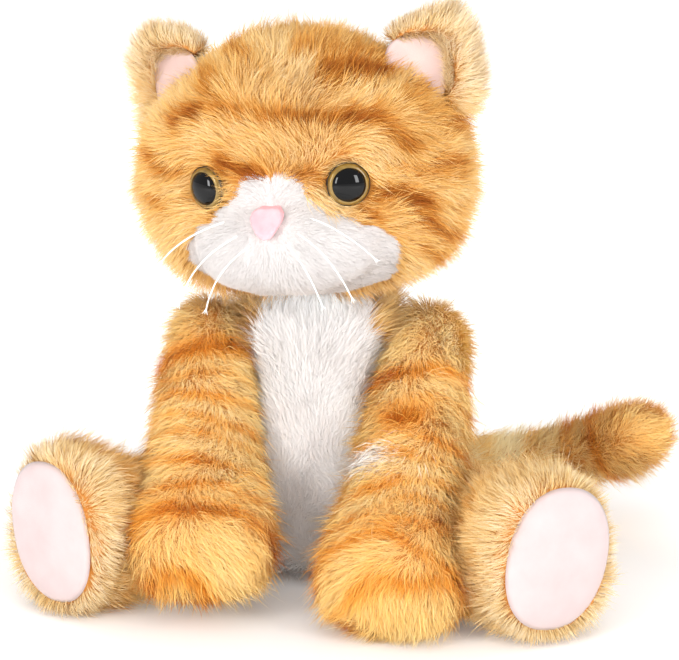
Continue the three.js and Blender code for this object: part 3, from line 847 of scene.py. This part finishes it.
def leg_tone(sign):
    hip, along = leg_axes(sign)

    def tone(root):
        s = (root - hip) @ along
        bent = s + 3 * waves(root, 30, 71 + sign)
        dark = np.zeros(len(root))
        for at, half, strength in LEG_STRIPES:
            dark = np.maximum(dark, strength * np.exp(-(((bent - at) / half) ** 2)))
        rim = 0.16 * smooth_step(s, LEG_LENGTH[name_of(sign)] - 24, LEG_LENGTH[name_of(sign)] - 6)
        return 0.62 + rim + 0.05 * waves(root, 26, 72) + 0.03 * waves(root, 11, 73) - dark

    return tone


def leg_flow(sign):
    hip, along = leg_axes(sign)

    def flow(root, normal):
        s = (root - hip) @ along
        centre = hip + s[:, None] * along + np.array((0, 0, 34))
        return -along * 0.8 + 0.4 * unit(root - centre)

    return flow


def foot_length(sign):
    hip, along = leg_axes(sign)

    def length(root, normal):
        toe = smooth_step((root - hip) @ along, 70, 96) * smooth_step(root[:, 2], 50, 72)
        rim = 0.45 * (1 - smooth_step(from_sole(root, sign), 1, 8))
        return (1 + (0.25 if sign < 0 else 0.1) * toe) * (1 - rim)

    return length


for side, sign in SIDES:
    # the arms' fur uses the lighter copy of the fur's ramp: painted light
    grow(f"{side}_arm_fur", f"{side}_arm", f"{side}_arm", "orange_fur",
         Coat(swirl=36, turn=26, root_drop=0, contrast=0.6), 110 + sign,
         keep=lambda p, n: np.ones(len(p), bool), flow=arm_flow(side, sign), tone=arm_tone(side, sign),
         others=but(f"{side}_arm"), materials=PAINTED_LIGHT_FUR + PATCH, patch=arm_patch(side, sign),
         lean_at=lambda p: 4)
    grow(f"{side}_leg_fur", f"{side}_leg", f"{side}_leg", "orange_fur",
         Coat(swirl=32, turn=24, root_drop=0.6), 120 + sign,
         keep=lambda p, n, sign=sign: from_sole(p, sign) > 0, flow=leg_flow(sign), tone=leg_tone(sign),
         others=but(f"{side}_leg"), length_at=foot_length(sign),
         lean_at=lambda p, sign=sign: -30 * (1 - smooth_step(from_sole(p, sign), 1, 7)))


def along_tail(root):
    """Distance along the tail's path, and the path's direction there."""
    best = np.full(len(root), 1e9)
    at = np.zeros(len(root))
    way = np.zeros((len(root), 3))
    start = 0.0
    for a, b in zip(TAIL_PATH[:-1], TAIL_PATH[1:]):
        size = np.linalg.norm(b - a)
        d = (b - a) / size
        t = np.clip((root - a) @ d, 0, size)
        far = np.linalg.norm(root - a - t[:, None] * d, axis=1)
        closer = far < best
        best[closer], at[closer], way[closer] = far[closer], start + t[closer], d
        start += size
    return at, way


# tail: distance along the path of a stripe's middle, its half-width and its strength
TAIL_STRIPES = ((26, 3, 0.2), (46, 3, 0.2), (68, 3.5, 0.24), (92, 4, 0.3), (113, 3.6, 0.5), (131, 3.2, 0.5))


def tail_tone(root):
    at, _ = along_tail(root)
    bent = at + 1.5 * waves(root, 20, 81)
    dark = np.zeros(len(root))
    for middle, half, strength in TAIL_STRIPES:
        dark = np.maximum(dark, strength * np.exp(-(((bent - middle) / half) ** 2)))
    # The tail's first part is painted lighter: painted light where the legs and arms shade it.
    painted_light_base, dull_tip = 0.22 * (1 - smooth_step(at, 85, 112)), 0.14 * smooth_step(at, 128, 146)
    return 0.74 + painted_light_base - dull_tip + 0.05 * waves(root, 24, 82) - dark


# the tail's fur uses the lighter copy of the fur's ramp: painted light
grow("tail_fur", "tail", "tail", "orange_fur", Coat(root_drop=0.4), 131,
     keep=lambda p, n: np.ones(len(p), bool), flow=lambda p, n: along_tail(p)[1] + (0, 0, 0.25),
     tone=tail_tone, others=but("tail"), materials=PAINTED_LIGHT_FUR)


def to_ear(points, sign):
    p = to_face(points) - np.array((sign * EAR_X[name_of(sign)], EAR_Y, EAR_Z))
    p = p @ turn_z(sign * EAR_TURN)
    return p * (sign, 1, 1)


def on_lining(root, sign, by=0.0):
    p = to_ear(root, sign)
    shift = LINING_SHIFT[name_of(sign)]
    x, z = (p[:, 0] - shift[0]) / (LINING_HALF[0] + by), (p[:, 2] - shift[1]) / (LINING_HALF[1] + by)
    return (np.abs(x) ** 3.2 + np.abs(z) ** 3.2 < 1) & (p[:, 1] < 2)


def ear_flow(sign):
    def flow(root, normal):
        p = to_ear(root, sign)
        away = np.stack((p[:, 0] + 12, np.full(len(p), 0.0), p[:, 2] + 18), 1) * (sign, 1, 1)
        return face_direction(away @ turn_z(sign * EAR_TURN).T)

    return flow


def ear_tone(sign):
    def tone(root):
        p = to_ear(root, sign)
        return 0.8 + 0.05 * waves(root, 16, 91 + sign) - 0.14 * smooth_step(-p[:, 2] - 0.4 * p[:, 0], 2, 18)

    return tone


for side, sign in SIDES:
    grow(f"{side}_ear_fur", f"{side}_ear", "head", "orange_fur",
         Coat(lean=44, length=11.5, droop=0.02, density=5, width=0.2, clump=0.08, frizz=0.6, contrast=0.4,
              strays=0), 140 + sign,
         keep=lambda p, n, sign=sign: ~on_lining(p, sign, 0.5), flow=ear_flow(sign), tone=ear_tone(sign),
         others=("head",),
         length_at=lambda p, n, sign=sign: 0.6 + 0.55 * smooth_step(to_ear(p, sign)[:, 0], -14, 8))

# ---- velour: foot pads, ear linings and nose -----------------------------------------------------------

VELOUR = noisy("velour_pink", (204, 183, 182), (214, 196, 195), 18, 0.9, bump=0.5, depth=0.25, fine=0.5,
               Sheen_Weight=0.3, Sheen_Roughness=0.4)
LINING = noisy("lining_pink", (212, 184, 178), (224, 198, 192), 12, 0.9, bump=0.4, depth=0.2, fine=0.5,
               Sheen_Weight=0.3, Sheen_Roughness=0.4)
NOSE = noisy("nose_pink", (240, 168, 176), (246, 188, 194), 5, 0.85, bump=0.5, depth=0.2, fine=0.45,
             Sheen_Weight=0.1, Sheen_Roughness=0.4)

RINGS, SPOKES = 16, 72


def pillow(name, origin, axes, half, power, crown, thick, dents, seed, edge=0.82):
    """A sewn-on velour piece: crowned or dished front, rolled edge, flat back. Its y points inwards."""
    points, faces = [], []
    angles = np.linspace(0, 2 * math.pi, SPOKES, endpoint=False)
    c, s = np.cos(angles), np.sin(angles)
    rim = np.stack((np.sign(c) * np.abs(c) ** (2 / power) * half[0],
                    np.sign(s) * np.abs(s) ** (2 / power) * half[1]), 1)
    for k in range(1, RINGS + 1):
        r = k / RINGS
        roll = max(r - edge, 0) / (1 - edge)
        depth = -crown * (1 - r * r) + thick * (1 - math.sqrt(max(1 - roll * roll, 0)))
        points += [(x * r, depth, z * r) for x, z in rim]
    points += [(x * 0.97, thick * 1.3, z * 0.97) for x, z in rim]
    points += [(0, -crown, 0), (0, thick * 1.3, 0)]
    points = np.array(points, float)
    inner = np.linalg.norm(points[:, [0, 2]] / half, axis=1)
    points[:, 1] += dents * waves(points, min(half) * 1.1, seed) * np.clip(1.1 - inner, 0, 1)
    front, back = len(points) - 2, len(points) - 1
    for i in range(SPOKES):
        j = (i + 1) % SPOKES
        faces.append((front, i, j))
        for k in range(RINGS):
            faces.append((k * SPOKES + i, (k + 1) * SPOKES + i, (k + 1) * SPOKES + j, k * SPOKES + j))
        faces.append((back, RINGS * SPOKES + j, RINGS * SPOKES + i))
    bm = bmesh.new()
    corners = [bm.verts.new(p) for p in (points @ axes.T + origin) * MM]
    for face in faces:
        bm.faces.new([corners[i] for i in face])
    bmesh.ops.recalc_face_normals(bm, faces=bm.faces)
    mesh = bpy.data.meshes.new(name)
    bm.to_mesh(mesh)
    bm.free()
    mesh.shade_smooth()
    return show(name, mesh)


for side, sign in SIDES:
    middle, axes = sole_frame(sign)
    pad = pillow(f"{side}_foot_velour", middle + axes @ np.array((0, 2.6, 0)), axes,
                 np.array(SOLE_HALF) + 1.2, 2.2, 3.4, 2.0, 0.7, 201 + sign, edge=0.7)
    stand_for(pad, f"{side}_leg", "pink_velvet", f"{side}_foot_pad")
    finish_with(pad, VELOUR)
    ear_axes = HEAD_AXES @ turn_z(sign * EAR_TURN)
    ear_middle = from_face(np.array((sign * EAR_X[side], EAR_Y, EAR_Z)))
    shift = np.array((sign * LINING_SHIFT[side][0], -6.2, LINING_SHIFT[side][1]))
    lining = pillow(f"{side}_ear_velour", ear_middle + ear_axes @ shift, ear_axes,
                    np.array(LINING_HALF) + 0.6, 3.0, -1.6, 1.6, 0.3, 211 + sign)
    stand_for(lining, "head", "pink_velvet", f"{side}_ear_lining")
    finish_with(lining, LINING)
nose = stuffed("nose_velour", ["nose_patch"], voxel=0.6, rounds=12, swell=0.3)
stand_for(nose, "head", "pink_nose", "nose_patch")
finish_with(nose, NOSE)

# ---- eyes ----------------------------------------------------------------------------------------------

PUPIL = plain("pupil_black", (1, 1, 2), 0.02, IOR=1.38)
IRIS = noisy("iris_gold", (104, 78, 26), (158, 126, 52), 3, 0.3, bump=0.15, depth=0.05, fine=0.4,
             Metallic=0.2, Coat_Weight=0.6, Coat_Roughness=0.05)
RIM = noisy("rim_dark", (26, 20, 14), (52, 40, 26), 2, 0.35, bump=0.2, depth=0.05, fine=0.3)


def lathe(name, profile, side, material, segments=64):
    """A closed turned piece on an eye's axis; profile is (radius, height) from the axis round to the axis."""
    centre, look = EYES[side]
    look = Vector(look)
    turn = look.to_track_quat("Z", "Y").to_matrix()
    bm = bmesh.new()
    rings = []
    for radius, height in profile:
        if radius < 1e-6:
            rings.append([bm.verts.new((0, 0, height))])
        else:
            rings.append([bm.verts.new((radius * math.cos(t), radius * math.sin(t), height))
                          for t in np.linspace(0, 2 * math.pi, segments, endpoint=False)])
    for low, high in zip(rings, rings[1:]):
        for i in range(segments):
            j = (i + 1) % segments
            corners = [low[i % len(low)], low[j % len(low)], high[j % len(high)], high[i % len(high)]]
            corners = list(dict.fromkeys(corners))
            if len(corners) > 2:
                bm.faces.new(corners)
    bmesh.ops.recalc_face_normals(bm, faces=bm.faces)
    matrix = Matrix.Translation(Vector(centre * MM)) @ turn.to_4x4() @ Matrix.Scale(MM, 4)
    bm.transform(matrix)
    mesh = bpy.data.meshes.new(name)
    bm.to_mesh(mesh)
    bm.free()
    mesh.shade_smooth()
    piece = show(name, mesh)
    finish_with(piece, material)
    return piece


def arc(radius, base, height, steps=14, start=0.0):
    """A dome's profile from its edge up to the axis."""
    angles = np.linspace(start, math.pi / 2, steps)
    return [(radius * math.cos(t) if t < math.pi / 2 - 1e-6 else 0.0, base + height * math.sin(t))
            for t in angles]


for side, sign in SIDES:
    dome = lathe(f"{side}_eye_pupil", [(0, 1.5), (PUPIL_RADIUS, 1.5)] + arc(PUPIL_RADIUS, 2.4, 3.3), side,
                 PUPIL)
    stand_for(dome, "head", "clear_lens", f"{side}_eye_lens")
    ring = lathe(f"{side}_eye_ring", [(0, 0.9), (9.1, 0.9), (9.2, 1.5), (9.0, 2.1), (8.5, 2.7), (8.1, 3.0),
                                      (7.5, 3.1), (0, 3.1)], side, IRIS)
    stand_for(ring, "head", "gold_iris", f"{side}_eye_iris")
    cup = lathe(f"{side}_eye_cup", [(0, -8), (2.3, -8), (2.4, -7.7), (2.4, -0.3), (8.8, -0.3), (9.5, 0.2),
                                    (9.7, 0.9), (9.6, 1.5), (9.3, 1.8), (9.25, 0.8), (0, 0.8)], side, RIM)
    stand_for(cup, "head", "black_plastic", f"{side}_eye_back")
    finish_with(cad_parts[f"{side}_eye_washer"], RIM)

# ---- whiskers ------------------------------------------------------------------------------------------

NYLON = plain("whisker_white", (250, 249, 247), 0.35, Sheen_Weight=0.2)
WHISKERS = {
    "upper": ((22, -64, -14), (38, -75, -17), (49, -72, -30.5)),
    "middle": ((16, -66, -20.5), (31, -77, -26), (39, -78, -46)),
    "lower": ((10, -67, -25), (21, -79, -31), (26, -80, -48)),
}
WHISKER_SIDES, WHISKER_STEPS = 8, 26


def tube(bm, points, radii):
    """Adds a closed round tube along points."""
    rings = []
    for k, (point, radius) in enumerate(zip(points, radii)):
        way = unit(points[min(k + 1, len(points) - 1)] - points[max(k - 1, 0)])
        across = unit(np.cross(way, (0.0, 0.0, 1.0)))
        up = np.cross(across, way)
        rings.append([bm.verts.new((point + radius * (math.cos(t) * across + math.sin(t) * up)) * MM)
                      for t in np.linspace(0, 2 * math.pi, WHISKER_SIDES, endpoint=False)])
    for low, high in zip(rings, rings[1:]):
        for i in range(WHISKER_SIDES):
            j = (i + 1) % WHISKER_SIDES
            bm.faces.new((low[i], low[j], high[j], high[i]))
    bm.faces.new(rings[0][::-1])
    bm.faces.new(rings[-1])


def bezier(a, b, c, steps):
    t = np.linspace(0, 1, steps)[:, None]
    return (1 - t) ** 2 * a + 2 * t * (1 - t) * b + t ** 2 * c


for side, sign in SIDES:
    for row, points in WHISKERS.items():
        a, b, c = (from_face(np.array(p) * (sign, 1, 1)) for p in points)
        inner = a + unit(a - b) * 3
        bm = bmesh.new()
        path = bezier(inner, b, c, WHISKER_STEPS)
        tube(bm, path, np.interp(np.linspace(0, 1, WHISKER_STEPS), (0, 0.2, 1), (0.45, 0.4, 0.3)))
        way = unit(path[-1] - path[-3])
        spread = unit(np.cross(way, (0.2, 1.0, 0.3)))
        for fork in (-1, -0.2, 0.8):
            start = path[-2]
            end = start + way * 3.4 + spread * fork * 1.4
            tube(bm, bezier(start, start + way * 1.6, end, 5), (0.27, 0.25, 0.21, 0.16, 0.08))
        bmesh.ops.recalc_face_normals(bm, faces=bm.faces)
        mesh = bpy.data.meshes.new(f"{side}_bristle_{row}")
        bm.to_mesh(mesh)
        bm.free()
        mesh.shade_smooth()
        bristle = show(mesh.name, mesh)
        finish_with(bristle, NYLON)
        stand_for(bristle, "head", "whisker_nylon", f"{side}_whisker_{row}")

# ---- floor and light -----------------------------------------------------------------------------------

FLOOR_HALF = 6.0


def make_stage():
    mesh = bpy.data.meshes.new("floor")
    h = FLOOR_HALF
    mesh.from_pydata([(-h, -h, 0), (h, -h, 0), (h, h, 0), (-h, h, 0)], [], [(0, 1, 2, 3)])
    floor = show("floor", mesh)
    floor.location.z = -0.0002
    material = plain("pale_floor", (247, 246, 245), 0.9, Specular_IOR_Level=0.0)
    nodes, links = material.node_tree.nodes, material.node_tree.links
    shader = nodes["Principled BSDF"]
    shader.inputs["Emission Color"].default_value = (1, 1, 1, 1)
    # the floor glows more away from the cat, so that it runs into white without a horizon
    coordinates = nodes.new("ShaderNodeTexCoord")
    reach = nodes.new("ShaderNodeVectorMath")
    reach.operation = "LENGTH"
    glow = nodes.new("ShaderNodeMapRange")
    glow.interpolation_type = "SMOOTHSTEP"
    for key, value in (("From Min", 0.1), ("From Max", 0.36), ("To Min", 0.12), ("To Max", 0.45)):
        glow.inputs[key].default_value = value
    links.new(coordinates.outputs["Object"], reach.inputs[0])
    links.new(reach.outputs["Value"], glow.inputs["Value"])
    links.new(glow.outputs["Result"], shader.inputs["Emission Strength"])
    finish_with(floor, material)
    world = bpy.data.worlds.new("studio")
    world.use_nodes = True
    world.node_tree.nodes["Background"].inputs["Color"].default_value = (1, 1, 1, 1)
    world.node_tree.nodes["Background"].inputs["Strength"].default_value = 0.66
    bpy.context.scene.world = world


def softbox(name, azimuth, elevation, distance, width, height, power):
    data = bpy.data.lights.new(name, "AREA")
    data.shape = "RECTANGLE"
    data.size, data.size_y = width, height
    data.energy = power
    light = bpy.data.objects.new(name, data)
    bpy.context.collection.objects.link(light)
    a, e = math.radians(azimuth), math.radians(elevation)
    back = Vector((math.sin(a) * math.cos(e), -math.cos(a) * math.cos(e), math.sin(e)))
    light.location = CAMERA_TARGET + back * distance
    light.rotation_mode = "QUATERNION"
    light.rotation_quaternion = (-back).to_track_quat("-Z", "Y")
    light.visible_camera = False
    return light


make_stage()
for name, azimuth, power in (("left", -34, 7.0), ("right", 48, 5.5)):
    softbox(f"softbox_{name}", azimuth, 18, 1.3, 0.28, 0.55, power)
softbox("softbox_top", 6, 52, 1.5, 1.2, 1.2, 4.5).visible_glossy = False
softbox("fill", 6, 6, 1.6, 1.6, 0.9, 6.0).visible_glossy = False
softbox("back", 190, 38, 1.6, 1.4, 1.0, 4.5).visible_glossy = False
bpy.context.scene.view_settings.view_transform = "Standard"
